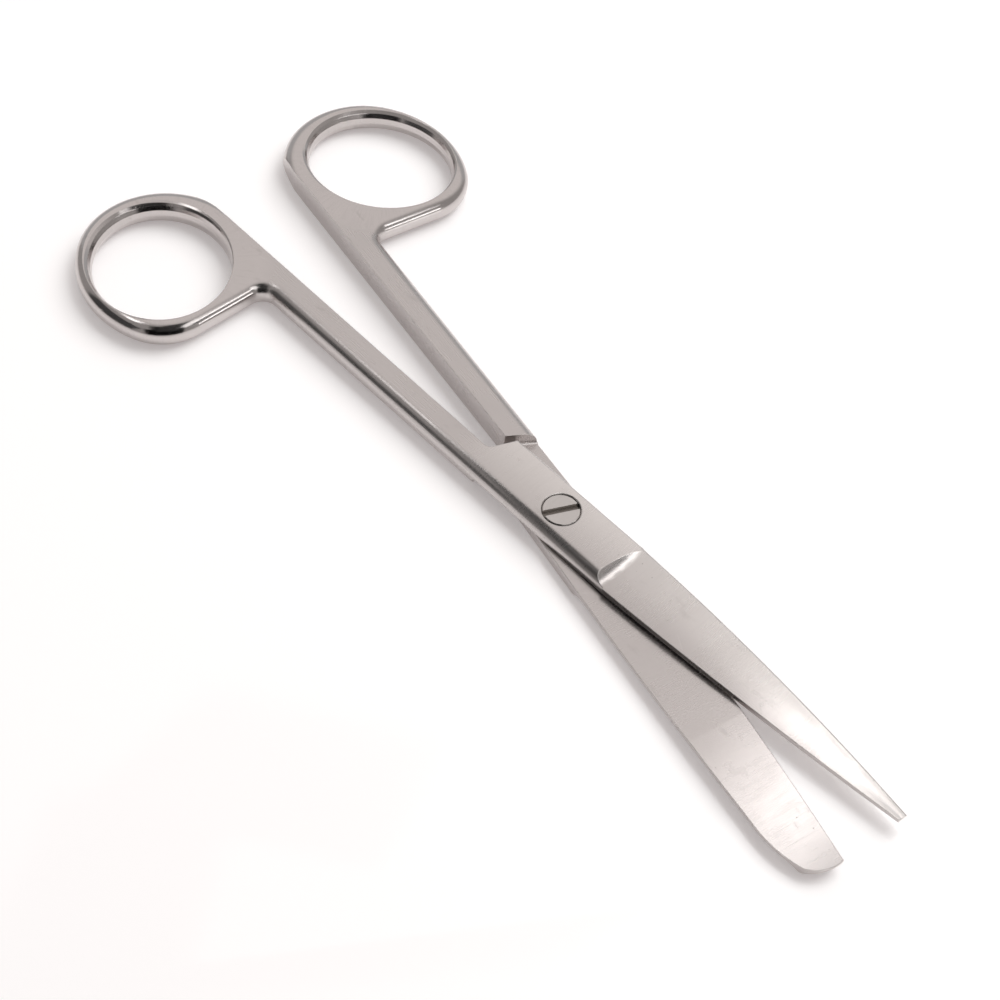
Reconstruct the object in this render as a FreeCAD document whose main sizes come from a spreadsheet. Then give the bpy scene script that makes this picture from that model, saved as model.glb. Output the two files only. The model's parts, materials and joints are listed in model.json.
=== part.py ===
"""Surgical scissors, sharp and blunt pattern: two forged halves and the screw they turn on.

Frame: the scissors lie on z = 0 with +X towards the tips and +Z up. The origin is on the screw's axis.
Each half is drawn as it lies closed, ring side at +Y and outer face down, with its lap face up.
The lower half lies like that. The upper half is turned over about X, so its outer face is up.
"""
import FreeCAD, Part
import Sketcher
import math
import os

V = FreeCAD.Vector

# Driving sizes in mm, each written once here
SIZES = {
    # Stock and how the halves lie
    "stock_height": 3.95,
    "lap_gap": 0.03,
    "opening_angle": 10.3,
    # Shank, from the joint back to the ring
    "inner_flat": 0.33,
    "shank_at_joint": 4.45,
    "shank_at_crotch": 4.8,
    "edge_round": 1.8,
    "joint_edge_round": 0.4,
    "crotch_round": 2.0,
    # Lap joint
    "joint_spine": 3.86,
    "shoulder_inner": 14.4,
    "shoulder_slant": 1.75,
    "shoulder_gap": 0.5,
    "shoulder_fillet": 0.4,
    "lap_round": 1.2,
    "seam_break": 0.16,
    # Finger ring
    "ring_back": 70.3,
    "ring_side": 13.4,
    "hole_long": 11.3,
    "hole_short": 10.05,
    "hole_tilt": 28.8,
    "mouth_far": 1.75,
    "mouth_web": 0.25,
    "mouth_turn": 160,
    "rim_end": 1.6,
    "end_arc_back": 1.5,
    "end_arc_in": 1.6,
    "side_arc_front": 1.22,
    "side_arc_in": 4.35,
    "top_arc_front": 4.25,
    "top_arc_out": 3.02,
    # Flats ground where the rings come together
    "heel_behind_ring": 3.9,
    "heel_length": 5.0,
    "heel_slope": 7.5,
    # Both blades at the root
    "blade_root": 12.3,
    "root_wheel": 2.2,
    "edge_thick_root": 1.1,
    "crown_drop_root": 0.01,
    "crown_least_bulge": 0.03,
    # Bow ground into both lap faces
    "set_start": 7.0,
    "set_end": 37.0,
    "blade_set": 0.2,
    # Sharp blade
    "sharp_reach": 60.1,
    "sharp_edge_tip": 0.4,
    "sharp_edge_bulge": 0.38,
    "sharp_spine_root": 4.06,
    "sharp_spine_tip": 0.95,
    "sharp_spine_bulge": 0.8,
    "sharp_tip_slant": 0.15,
    "sharp_edge_thick": 0.6,
    "sharp_crown_thick": 0.78,
    "sharp_spine_thick": 0.4,
    "sharp_spine_round": 0.35,
    "sharp_root_spine_thick": 1.55,
    "sharp_root_spine_round": 0.42,
    # Blunt blade
    "blunt_reach": 59.75,
    "blunt_edge_tip": 1.3,
    "blunt_edge_bulge": 0.45,
    "blunt_spine_root": 4.75,
    "blunt_spine_tip": 5.35,
    "blunt_spine_bulge": 0.2,
    "blunt_nose_start": 9.75,
    "blunt_nose_corner": 1.55,
    "blunt_nose_side": 3.6,
    "blunt_nose_bulge": 0.57,
    "blunt_end_bulge": 0.68,
    "blunt_edge_thick": 0.5,
    "blunt_crown_thick": 1.3,
    "blunt_spine_thick": 0.5,
    "blunt_spine_round": 1.5,
    "blunt_root_spine_thick": 0.75,
    "blunt_root_spine_round": 0.9,
    # Pivot screw and what it runs in
    "screw_head": 5.2,
    "head_height": 1.0,
    "head_sunk": 0.02,
    "screw_shank": 3.2,
    "screw_thread": 2.8,
    "slot_width": 0.95,
    "slot_depth": 0.65,
    "slot_turn": 64.5,
    "head_clearance": 0.09,
    "running_clearance": 0.03,
    "thread_clearance": 0.01,
    "head_bevel": 0.12,
    "seat_bevel": 0.12,
}

# Height of each ring of the finger hole's mouth, as a share of half the stock
MOUTH_STEPS = (0.0, 0.45, 0.75, 0.93, 1.0)
# Where the blade's cross-sections stand, as a share of its length
BLADE_STEPS = (0.0, 0.25, 0.5, 0.75, 1.0)
# How far the grinding wheel has climbed out of the blade's root, as a share of its run-out
ROOT_STEPS = (0.0, 0.33, 0.66, 1.0)
# How far a cutting tool reaches past the stock
PAST = 1.5
# Bulge of the ground face for each millimetre that it falls, from its crown to the cutting edge
CROWN_SHARE = 0.24
# Bulge of the rounding beside the spine, for each millimetre of its width
SPINE_SHARE = 0.25
# Lengths below which two places count as one, strictly and loosely
TINY = 1e-6
NEAR = 1e-3
# A turn in degrees that fixes a placement's axis before its angle is tied to the sheet
START_TURN = 1


def fill_sheet(doc, name, cells):
    """A spreadsheet with one aliased cell for each entry."""
    sheet = doc.addObject("Spreadsheet::Sheet", name)
    for row, (alias, content) in enumerate(cells.items(), start=1):
        sheet.set(f"A{row}", alias)
        sheet.set(f"B{row}", str(content))
        sheet.setAlias(f"B{row}", alias)
    doc.recompute()
    return sheet


def bulge_radius(start, end, bulge):
    """The radius of an arc that stands proud of its chord by the bulge."""
    span = f"(({end}_x - {start}_x)^2 + ({end}_y - {start}_y)^2)"
    return f"={span} / (8 * {bulge}) + {bulge} / 2"


def layout_of_blank(places):
    """Corners of the forged outline that both halves share."""
    places["ring_x"] = "=-Sizes.ring_back"
    places["ring_y"] = "=Sizes.ring_side"
    places["end_c_x"] = "=ring_x - Sizes.end_arc_back"
    places["end_c_y"] = "=ring_y - Sizes.end_arc_in"
    places["side_c_x"] = "=ring_x + Sizes.side_arc_front"
    places["side_c_y"] = "=ring_y - Sizes.side_arc_in"
    places["top_c_x"] = "=ring_x + Sizes.top_arc_front"
    places["top_c_y"] = "=ring_y + Sizes.top_arc_out"
    places["end_radius"] = "=Sizes.hole_long + Sizes.rim_end"
    places["end_to_side"] = "=sqrt((end_c_x - side_c_x)^2 + (end_c_y - side_c_y)^2)"
    places["side_to_top"] = "=sqrt((top_c_x - side_c_x)^2 + (top_c_y - side_c_y)^2)"
    places["side_radius"] = "=end_radius + end_to_side"
    places["top_radius"] = "=side_radius - side_to_top"
    places["rim_start_x"] = "=end_c_x"
    places["rim_start_y"] = "=end_c_y - end_radius"
    places["rim_one_x"] = "=end_c_x + end_radius * (end_c_x - side_c_x) / end_to_side"
    places["rim_one_y"] = "=end_c_y + end_radius * (end_c_y - side_c_y) / end_to_side"
    places["rim_two_x"] = "=side_c_x + side_radius * (top_c_x - side_c_x) / side_to_top"
    places["rim_two_y"] = "=side_c_y + side_radius * (top_c_y - side_c_y) / side_to_top"
    places["rim_end_x"] = "=top_c_x + top_radius"
    places["rim_end_y"] = "=top_c_y"
    places["root_x"] = "=Sizes.blade_root"
    places["root_y"] = "=Sizes.shank_at_joint"
    rise = "(Sizes.shank_at_crotch - Sizes.shank_at_joint)"
    places["shank_slope"] = f"={rise} / (root_x - rim_end_x)"
    places["shank_cos"] = "=1 / sqrt(1 + shank_slope^2)"
    places["crotch_radius"] = "=Sizes.crotch_round"
    places["crotch_c_x"] = "=rim_end_x + Sizes.crotch_round"
    line_y = "root_y + shank_slope * (root_x - crotch_c_x)"
    places["crotch_c_y"] = f"={line_y} + Sizes.crotch_round / shank_cos"
    places["crotch_top_x"] = "=rim_end_x"
    places["crotch_top_y"] = "=crotch_c_y"
    places["crotch_low_x"] = "=crotch_c_x - Sizes.crotch_round * shank_slope * shank_cos"
    places["crotch_low_y"] = "=crotch_c_y - Sizes.crotch_round * shank_cos"
    places["heel_blank_x"] = "=-Sizes.shoulder_inner"
    places["heel_blank_y"] = f"=rim_start_y - {PAST}"
    places["heel_foot_x"] = "=rim_start_x"
    places["heel_foot_y"] = "=heel_blank_y"
    places["joint_back_x"] = "=-Sizes.shoulder_inner"
    places["joint_back_y"] = "=-Sizes.joint_spine"


def layout_of_joint(places):
    """The ground flats, the shoulder and the lap edge that meets the other half's shoulder."""
    places["heel_x"] = "=ring_x - Sizes.heel_behind_ring"
    places["heel_y"] = "=Sizes.inner_flat"
    places["heel_end_x"] = "=heel_x - Sizes.heel_length"
    places["heel_end_y"] = "=heel_y + Sizes.heel_length * tan(Sizes.heel_slope)"
    places["step_x"] = "=Sizes.shoulder_slant"
    places["step_y"] = "=Sizes.shank_at_joint - Sizes.inner_flat"
    places["step_long"] = "=sqrt(step_x^2 + step_y^2)"
    places["lap_n_x"] = "=step_y / step_long"
    places["lap_n_y"] = "=step_x / step_long"
    places["lap_from_x"] = "=-Sizes.shoulder_inner + Sizes.shoulder_gap * lap_n_x"
    places["lap_from_y"] = "=-Sizes.inner_flat + Sizes.shoulder_gap * lap_n_y"
    places["lap_radius"] = "=Sizes.lap_round"
    places["lap_c_y"] = "=Sizes.inner_flat - Sizes.lap_round"
    rest = "(lap_c_y - lap_from_y) * lap_n_y"
    places["lap_c_x"] = f"=lap_from_x - (Sizes.lap_round + {rest}) / lap_n_x"
    places["lap_one_x"] = "=lap_c_x"
    places["lap_one_y"] = "=Sizes.inner_flat"
    places["lap_two_x"] = "=lap_c_x + Sizes.lap_round * lap_n_x"
    places["lap_two_y"] = "=lap_c_y + Sizes.lap_round * lap_n_y"
    places["lap_end_y"] = f"=-Sizes.joint_spine - {PAST}"
    places["lap_end_x"] = "=lap_from_x + (lap_from_y - lap_end_y) * step_x / step_y"
    places["heel_low_x"] = "=heel_end_x"
    places["heel_low_y"] = f"=heel_blank_y - {PAST}"
    places["flat_low_x"] = "=lap_c_x - Sizes.lap_round"
    places["flat_low_y"] = "=lap_end_y"
    places["flat_back_x"] = "=flat_low_x"
    places["flat_back_y"] = "=heel_low_y"
    places["face_a_y"] = f"=-Sizes.joint_spine - {PAST}"
    places["face_a_x"] = "=-Sizes.shoulder_inner + (face_a_y - Sizes.inner_flat) * step_x / step_y"
    places["face_b_y"] = f"=Sizes.shank_at_joint + {PAST}"
    places["face_b_x"] = "=-Sizes.shoulder_inner + (face_b_y - Sizes.inner_flat) * step_x / step_y"
    places["face_c_x"] = f"=max(Sizes.sharp_reach; Sizes.blunt_reach) + 2 * {PAST}"
    places["face_c_y"] = "=face_b_y"
    places["face_d_x"] = "=face_c_x"
    places["face_d_y"] = "=face_a_y"


def layout_of_tips(places):
    """Plan corners of the sharp tip and of the blunt nose."""
    places["sharp_tip_x"] = "=Sizes.sharp_reach"
    places["sharp_tip_y"] = "=Sizes.sharp_edge_tip"
    places["sharp_back_x"] = "=Sizes.sharp_reach + Sizes.sharp_tip_slant"
    places["sharp_back_y"] = "=-Sizes.sharp_spine_tip"
    places["sharp_spine_x"] = "=Sizes.blade_root"
    places["sharp_spine_y"] = "=-Sizes.sharp_spine_root"
    places["sharp_edge_radius"] = bulge_radius("root", "sharp_tip", "Sizes.sharp_edge_bulge")
    places["sharp_spine_radius"] = bulge_radius("sharp_spine", "sharp_back", "Sizes.sharp_spine_bulge")
    places["blunt_tip_x"] = "=Sizes.blunt_reach"
    places["blunt_tip_y"] = "=Sizes.blunt_edge_tip"
    places["blunt_corner_x"] = "=Sizes.blunt_reach - Sizes.blunt_nose_corner"
    places["blunt_corner_y"] = "=-Sizes.blunt_nose_side"
    places["blunt_back_x"] = "=Sizes.blunt_reach - Sizes.blunt_nose_start"
    places["blunt_back_y"] = "=-Sizes.blunt_spine_tip"
    places["blunt_spine_x"] = "=Sizes.blade_root"
    places["blunt_spine_y"] = "=-Sizes.blunt_spine_root"
    places["blunt_edge_radius"] = bulge_radius("root", "blunt_tip", "Sizes.blunt_edge_bulge")
    places["blunt_end_radius"] = bulge_radius("blunt_tip", "blunt_corner", "Sizes.blunt_end_bulge")
    places["blunt_nose_radius"] = bulge_radius("blunt_corner", "blunt_back", "Sizes.blunt_nose_bulge")
    places["blunt_spine_radius"] = bulge_radius("blunt_spine", "blunt_back", "Sizes.blunt_spine_bulge")


def layout_of_mouth(places):
    """Ellipses that open the finger hole from its middle ridge out to each face."""
    for number, share in enumerate(MOUTH_STEPS):
        flare = f"(1 - sqrt(1 - {share}^2))"
        both = "(Sizes.mouth_far + Sizes.mouth_web) / 2"
        shift = "(Sizes.mouth_far - Sizes.mouth_web) / 2"
        places[f"mouth{number}_x"] = f"=ring_x + {shift} * {flare} * cos(Sizes.mouth_turn)"
        places[f"mouth{number}_y"] = f"=ring_y + {shift} * {flare} * sin(Sizes.mouth_turn)"
        places[f"mouth{number}_long"] = f"=2 * (Sizes.hole_long + {both} * {flare})"
        places[f"mouth{number}_short"] = f"=2 * (Sizes.hole_short + {both} * {flare})"
        places[f"mouth{number}_up"] = f"=Sizes.stock_height / 2 * (1 + {share})"
        places[f"mouth{number}_down"] = f"=Sizes.stock_height / 2 * (1 - {share})"


def between(root, tip, share):
    """A size that changes evenly from the blade's root to its tip."""
    return f"({root} + ({tip} - {root}) * {share})"


def layout_of_section(places, name, blade, share, station, lift):
    """One cross-section of the wheel that grinds the blade's outer face, in Y and Z."""
    swell = f"4 * {share} * (1 - {share})"
    edge = between("Sizes.shank_at_joint", f"Sizes.{blade}_edge_tip", share)
    spine = between(f"Sizes.{blade}_spine_root", f"Sizes.{blade}_spine_tip", share)
    round_off = between(f"Sizes.{blade}_root_spine_round", f"Sizes.{blade}_spine_round", share)
    crown = between("(Sizes.stock_height / 2 - Sizes.crown_drop_root)",
                    f"Sizes.{blade}_crown_thick", share)
    edge_thick = between("Sizes.edge_thick_root", f"Sizes.{blade}_edge_thick", share)
    spine_thick = between(f"Sizes.{blade}_root_spine_thick", f"Sizes.{blade}_spine_thick", share)
    places[f"{name}_at"] = f"={station}"
    places[f"{name}_edge_x"] = f"={edge} + Sizes.{blade}_edge_bulge * {swell}"
    places[f"{name}_edge_y"] = f"=Sizes.stock_height / 2 - {edge_thick} - {lift}"
    places[f"{name}_back_x"] = f"=-{spine} - Sizes.{blade}_spine_bulge * {swell}"
    places[f"{name}_back_y"] = f"=Sizes.stock_height / 2 - {spine_thick} - {lift}"
    places[f"{name}_crown_x"] = f"={name}_back_x + {round_off}"
    places[f"{name}_crown_y"] = f"=Sizes.stock_height / 2 - {crown} - {lift}"
    places[f"{name}_out_x"] = f"={name}_edge_x + {PAST}"
    places[f"{name}_out_y"] = f"={name}_edge_y"
    places[f"{name}_low_x"] = f"={name}_out_x"
    places[f"{name}_low_y"] = "=-Sizes.stock_height"
    places[f"{name}_far_x"] = f"={name}_back_x - {PAST}"
    places[f"{name}_far_y"] = f"={name}_back_y"
    places[f"{name}_foot_x"] = f"={name}_far_x"
    places[f"{name}_foot_y"] = "=-Sizes.stock_height"
    rise = f"({name}_edge_y - {name}_crown_y)"
    crown_bulge = f"({CROWN_SHARE} * {rise} + Sizes.crown_least_bulge)"
    spine_bulge = f"({SPINE_SHARE} * {round_off})"
    places[f"{name}_crown_radius"] = bulge_radius(f"{name}_edge", f"{name}_crown", crown_bulge)
    places[f"{name}_spine_radius"] = bulge_radius(f"{name}_crown", f"{name}_back", spine_bulge)


def layout_of_blade(places, blade):
    """Cross-sections along one blade, and those of the wheel's run-out at its root."""
    for number, share in enumerate(BLADE_STEPS):
        reach = f"(Sizes.{blade}_reach + {PAST} - root_x)"
        run = f"({share} * {reach} / (Sizes.{blade}_reach - root_x))"
        layout_of_section(places, f"{blade}{number}", blade, run, f"root_x + {share} * {reach}", "0")
    places[f"{blade}_runout"] = "=sqrt(2 * Sizes.root_wheel * Sizes.stock_height / 2)"
    for number, share in enumerate(ROOT_STEPS):
        climb = f"(({share} * {blade}_runout)^2 / (2 * Sizes.root_wheel))"
        station = f"root_x - {share} * {blade}_runout"
        layout_of_section(places, f"{blade}root{number}", blade, "0", station, climb)


def layout_of_set(places):
    """The bow that each blade's lap face is ground to, in X and Z."""
    places["set_start_x"] = "=Sizes.set_start"
    places["set_start_y"] = "=screw_lap"
    places["set_end_x"] = "=Sizes.set_end"
    places["set_end_y"] = "=screw_lap"
    places["set_over_x"] = "=set_end_x"
    places["set_over_y"] = f"=screw_lap + {PAST}"
    places["set_above_x"] = "=set_start_x"
    places["set_above_y"] = "=set_over_y"
    places["set_radius"] = bulge_radius("set_start", "set_end", "Sizes.blade_set")


def layout_of_seam(places):
    """The bevel beside the joint, square to the blade: its two sections in Y and Z."""
    places["seam_back_at"] = "=Sizes.shoulder_slant + Sizes.shoulder_fillet - Sizes.shoulder_inner"
    places["seam_front_at"] = "=root_x"
    for station in ("back", "front"):
        name = f"seam_{station}"
        places[f"{name}_wall"] = f"=root_y + shank_slope * (root_x - {name}_at)"
        places[f"{name}_in_x"] = f"={name}_wall - Sizes.seam_break - {PAST}"
        places[f"{name}_in_y"] = f"=screw_lap + {PAST}"
        places[f"{name}_low_x"] = f"={name}_wall + {PAST}"
        places[f"{name}_low_y"] = f"=screw_lap - Sizes.seam_break - {PAST}"
        places[f"{name}_out_x"] = f"={name}_low_x"
        places[f"{name}_out_y"] = f"={name}_in_y"


def layout_of_screw(places):
    """Heights of the screw's steps and the corners of its slot."""
    places["screw_lap"] = "=Sizes.stock_height / 2 - Sizes.lap_gap / 2"
    places["head_low"] = "=Sizes.stock_height - Sizes.head_sunk - Sizes.head_height"
    places["head_top"] = "=Sizes.stock_height - Sizes.head_sunk"
    places["head_radius"] = "=Sizes.screw_head / 2"
    places["seat_radius"] = "=Sizes.screw_head / 2 + Sizes.head_clearance"
    for name, along, across in (("a", "-", "-"), ("b", "", "-"), ("c", "", ""), ("d", "-", "")):
        places[f"slot_{name}_x"] = f"={along}(Sizes.screw_head / 2 + {PAST})"
        places[f"slot_{name}_y"] = f"={across}Sizes.slot_width / 2"


def build_sheets(doc):
    """The driving sizes, and the places worked out from them."""
    fill_sheet(doc, "Sizes", SIZES)
    places = {}
    layout_of_blank(places)
    layout_of_joint(places)
    layout_of_tips(places)
    layout_of_mouth(places)
    layout_of_blade(places, "sharp")
    layout_of_blade(places, "blunt")
    layout_of_screw(places)
    layout_of_set(places)
    layout_of_seam(places)
    return fill_sheet(doc, "Layout", places)


def origin_plane(body, role):
    """The body's own origin plane with this role."""
    return next(item for item in body.Origin.OriginFeatures if item.Role == role)


def new_sketch(body, name, role, height=None):
    """An empty sketch on an origin plane, moved along the plane's normal by an expression."""
    sketch = body.newObject("Sketcher::SketchObject", name)
    sketch.AttachmentSupport = [(origin_plane(body, role), "")]
    sketch.MapMode = "FlatFace"
    if height is not None:
        sketch.setExpression("AttachmentOffset.Base.z", height)
    return sketch


def bind(sketch, constraint, expression):
    """Add a constraint and tie its size to an expression."""
    index = sketch.addConstraint(constraint)
    sketch.setExpression(f"Constraints[{index}]", expression)


def pin(sketch, geometry, position, x_name, y_name, layout):
    """Tie a point of the sketch to two cells of the layout."""
    x = layout.get(x_name)
    y = layout.get(y_name)
    bind(sketch, Sketcher.Constraint("DistanceX", -1, 1, geometry, position, x), f"Layout.{x_name}")
    bind(sketch, Sketcher.Constraint("DistanceY", -1, 1, geometry, position, y), f"Layout.{y_name}")


def arc_between(start, end, radius, bends_left):
    """An arc shorter than a half turn, and whether it runs from start to end."""
    chord = end - start
    side = V(-chord.y, chord.x, 0)
    side.normalize()
    depth = math.sqrt(max(radius ** 2 - (chord.Length / 2) ** 2, 0))
    centre = (start + end) * 0.5 + side * (depth if bends_left else -depth)
    first, last = (start, end) if bends_left else (end, start)
    from_angle = math.atan2(first.y - centre.y, first.x - centre.x)
    to_angle = math.atan2(last.y - centre.y, last.x - centre.x)
    if to_angle < from_angle:
        to_angle += 2 * math.pi
    return Part.ArcOfCircle(Part.Circle(centre, V(0, 0, 1), radius), from_angle, to_angle)


def draw_outline(sketch, layout, corners):
    """A closed outline. Each corner is a name, or a name with the radius and side of the arc after it."""
    named = [corner if isinstance(corner, tuple) else (corner, None, None) for corner in corners]
    points = [V(layout.get(f"{name}_x"), layout.get(f"{name}_y"), 0) for name, _, _ in named]
    ends = []
    for number, (name, radius, bend) in enumerate(named):
        start = points[number]
        end = points[(number + 1) % len(points)]
        if radius is None:
            geometry = sketch.addGeometry(Part.LineSegment(start, end), False)
            ends.append((geometry, 1, 2))
        else:
            left = bend == "left"
            geometry = sketch.addGeometry(arc_between(start, end, layout.get(radius), left), False)
            ends.append((geometry, 1, 2) if left else (geometry, 2, 1))
            size = Sketcher.Constraint("Radius", geometry, layout.get(radius))
            bind(sketch, size, f"Layout.{radius}")
    for number, (name, _, _) in enumerate(named):
        geometry, first, last = ends[number]
        following, next_first, _ = ends[(number + 1) % len(ends)]
        sketch.addConstraint(Sketcher.Constraint("Coincident", geometry, last, following, next_first))
        pin(sketch, geometry, first, f"{name}_x", f"{name}_y", layout)


def draw_circle(sketch, expression):
    """A circle about the sketch's origin whose diameter is an expression."""
    size = sketch.evalExpression(expression)
    circle = sketch.addGeometry(Part.Circle(V(0, 0, 0), V(0, 0, 1), size / 2), False)
    sketch.addConstraint(Sketcher.Constraint("Coincident", circle, 3, -1, 1))
    bind(sketch, Sketcher.Constraint("Diameter", circle, size), expression)


def draw_ellipse(sketch, layout, name):
    """One ring of the finger hole, tilted with the hole."""
    centre = V(layout.get(f"{name}_x"), layout.get(f"{name}_y"), 0)
    long_half = layout.get(f"{name}_long") / 2
    short_half = layout.get(f"{name}_short") / 2
    ellipse = sketch.addGeometry(Part.Ellipse(centre, long_half, short_half), False)
    sketch.exposeInternalGeometry(ellipse)
    pin(sketch, ellipse, 3, f"{name}_x", f"{name}_y", layout)
    bind(sketch, Sketcher.Constraint("Distance", ellipse + 1, 2 * long_half), f"Layout.{name}_long")
    bind(sketch, Sketcher.Constraint("Distance", ellipse + 2, 2 * short_half), f"Layout.{name}_short")
    bind(sketch, Sketcher.Constraint("Angle", ellipse + 1, math.radians(START_TURN)), "Sizes.hole_tilt")


def checked(doc, feature, previous=None):
    """Recompute, and see that the feature is sound and that a cut really took something away."""
    doc.recompute()
    if "Invalid" in feature.State or "Error" in feature.State:
        raise RuntimeError(f"{feature.Label} failed: {feature.State}")
    if feature.Shape.isNull() or not feature.Shape.isValid():
        raise RuntimeError(f"{feature.Label} has no valid shape")
    if previous is not None and feature.Shape.Volume >= previous.Shape.Volume - TINY:
        raise RuntimeError(f"{feature.Label} cut nothing")
    return feature


def add_pad(doc, body, name, sketch, length):
    """A pad of the sketch, upwards from its plane."""
    pad = body.newObject("PartDesign::Pad", name)
    pad.Profile = sketch
    pad.setExpression("Length", length)
    return checked(doc, pad)


def add_pocket(doc, body, name, sketch, length, upwards=False):
    """A pocket of the sketch, against its plane's normal unless told otherwise."""
    previous = body.Tip
    pocket = body.newObject("PartDesign::Pocket", name)
    pocket.Profile = sketch
    pocket.Reversed = upwards
    pocket.setExpression("Length", length)
    return checked(doc, pocket, previous)


def add_loft_cut(doc, body, name, sketches, straight=False):
    """Material ground away between a row of sections, in one sweep or straight from each to the next."""
    previous = body.Tip
    loft = body.newObject("PartDesign::SubtractiveLoft", name)
    loft.Ruled = straight
    loft.Profile = sketches[0]
    loft.Sections = sketches[1:]
    return checked(doc, loft, previous)


def add_fillet(doc, body, name, edges, radius):
    """Round the named edges of the body's last feature."""
    if not edges:
        raise RuntimeError(f"{name} found no edge to round")
    previous = body.Tip
    fillet = body.newObject("PartDesign::Fillet", name)
    fillet.Base = (previous, edges)
    fillet.setExpression("Radius", radius)
    return checked(doc, fillet)


def add_bevel(doc, body, name, edges, size):
    """Break the named edges of the body's last feature with a small bevel."""
    if not edges:
        raise RuntimeError(f"{name} found no edge to bevel")
    previous = body.Tip
    chamfer = body.newObject("PartDesign::Chamfer", name)
    chamfer.Base = (previous, edges)
    chamfer.setExpression("Size", size)
    return checked(doc, chamfer, previous)


def edges_where(shape, test):
    """Names of the edges whose middle point and length pass a test."""
    names = []
    for number, edge in enumerate(shape.Edges, start=1):
        middle = edge.valueAt((edge.FirstParameter + edge.LastParameter) / 2)
        if test(edge, middle):
            names.append(f"Edge{number}")
    return names


def is_flat(edge):
    """Whether an edge stays at one height."""
    return edge.BoundBox.ZLength < TINY


def rim_edges(shape, height, radius):
    """Names of the edges that run round the pivot's axis at one height and radius."""
    def on_rim(edge, middle):
        away = math.hypot(middle.x, middle.y)
        return is_flat(edge) and abs(middle.z - height) < NEAR and abs(away - radius) < NEAR

    return edges_where(shape, on_rim)


def forge_blank(doc, body, layout, blade):
    """The forged handle and joint at full height, with every long edge rounded."""
    corners = ["crotch_low", "root", f"{blade}_spine", "joint_back", "heel_blank", "heel_foot",
               ("rim_start", "end_radius", "right"), ("rim_one", "side_radius", "right"),
               ("rim_two", "top_radius", "right"), "rim_end", ("crotch_top", "crotch_radius", "left")]
    sketch = new_sketch(body, f"{blade}_outline", "XY_Plane")
    draw_outline(sketch, layout, corners)
    blank = add_pad(doc, body, f"{blade}_blank", sketch, "Sizes.stock_height")

    before_root = layout.get("root_x") - NEAR

    def outer_edge(edge, middle):
        return is_flat(edge) and middle.y > 0 and middle.x < before_root

    def joint_edge(edge, middle):
        return is_flat(edge) and middle.y < 0 and layout.get("joint_back_x") + NEAR < middle.x < before_root

    rounded = add_fillet(doc, body, f"{blade}_edge_round", edges_where(blank.Shape, outer_edge),
                         "Sizes.edge_round")
    return add_fillet(doc, body, f"{blade}_joint_edge_round", edges_where(rounded.Shape, joint_edge),
                      "Sizes.joint_edge_round")


def draw_blade(doc, body, layout, blade):
    """The blade's plan from the joint to its tip, half the stock high."""
    corners = [("root", f"{blade}_edge_radius", "right")]
    if blade == "sharp":
        corners += ["sharp_tip", ("sharp_back", "sharp_spine_radius", "right"), "sharp_spine"]
    else:
        corners += [("blunt_tip", "blunt_end_radius", "right"),
                    ("blunt_corner", "blunt_nose_radius", "right"),
                    ("blunt_back", "blunt_spine_radius", "right"), "blunt_spine"]
    sketch = new_sketch(body, f"{blade}_plan", "XY_Plane")
    draw_outline(sketch, layout, corners)
    return add_pad(doc, body, f"{blade}_blade", sketch, "Sizes.stock_height / 2")


def grind_flats(doc, body, layout, blade):
    """The straight inner face, the heel of the ring and the edge of the lap."""
    sketch = new_sketch(body, f"{blade}_flats", "XY_Plane")
    draw_outline(sketch, layout, ["heel_end", "heel", ("lap_one", "lap_radius", "right"), "lap_two",
                                  "lap_end", "flat_low", "flat_back", "heel_low"])
    return add_pocket(doc, body, f"{blade}_inner_flats", sketch, "Sizes.stock_height", upwards=True)


def cut_lap(doc, body, layout, blade):
    """Half the height taken off from the shoulder to the tip, with a fillet at the shoulder's foot."""
    sketch = new_sketch(body, f"{blade}_lap", "XY_Plane", "Sizes.stock_height")
    draw_outline(sketch, layout, ["face_a", "face_b", "face_c", "face_d"])
    lap = add_pocket(doc, body, f"{blade}_lap_face", sketch, "Sizes.stock_height / 2 + Sizes.lap_gap / 2")
    lap_height = layout.get("screw_lap")
    front = layout.get("face_b_x")
    back = layout.get("face_a_x")

    def shoulder_foot(edge, middle):
        level = is_flat(edge) and abs(middle.z - lap_height) < NEAR
        return level and back < middle.x < front and middle.y > 0 and edge.Length > 1

    return add_fillet(doc, body, f"{blade}_shoulder_foot", edges_where(lap.Shape, shoulder_foot),
                      "Sizes.shoulder_fillet")


def set_blade(doc, body, layout, blade):
    """The lap face ground back in a long bow, so that the blades only meet beyond it."""
    sketch = new_sketch(body, f"{blade}_bow", "XZ_Plane", "Sizes.stock_height * 2")
    draw_outline(sketch, layout, [("set_start", "set_radius", "left"), "set_end", "set_over", "set_above"])
    return add_pocket(doc, body, f"{blade}_set", sketch, "Sizes.stock_height * 4")


def pierce_ring(doc, body, layout, blade):
    """The finger hole, with a ridge round its middle and a mouth that widens away from the shank."""
    feature = None
    for side in ("up", "down"):
        rings = []
        for number in range(len(MOUTH_STEPS)):
            sketch = new_sketch(body, f"{blade}_mouth_{side}_{number}", "XY_Plane",
                                f"Layout.mouth{number}_{side}")
            draw_ellipse(sketch, layout, f"mouth{number}")
            rings.append(sketch)
        feature = add_loft_cut(doc, body, f"{blade}_hole_{side}", rings, straight=True)
    return feature


def draw_section(body, layout, name):
    """One cross-section of the ground face, square to the blade."""
    sketch = new_sketch(body, f"{name}_section", "YZ_Plane", f"Layout.{name}_at")
    draw_outline(sketch, layout, [f"{name}_low", f"{name}_out",
                                  (f"{name}_edge", f"{name}_crown_radius", "left"),
                                  (f"{name}_crown", f"{name}_spine_radius", "left"),
                                  f"{name}_back", f"{name}_far", f"{name}_foot"])
    return sketch


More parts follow.
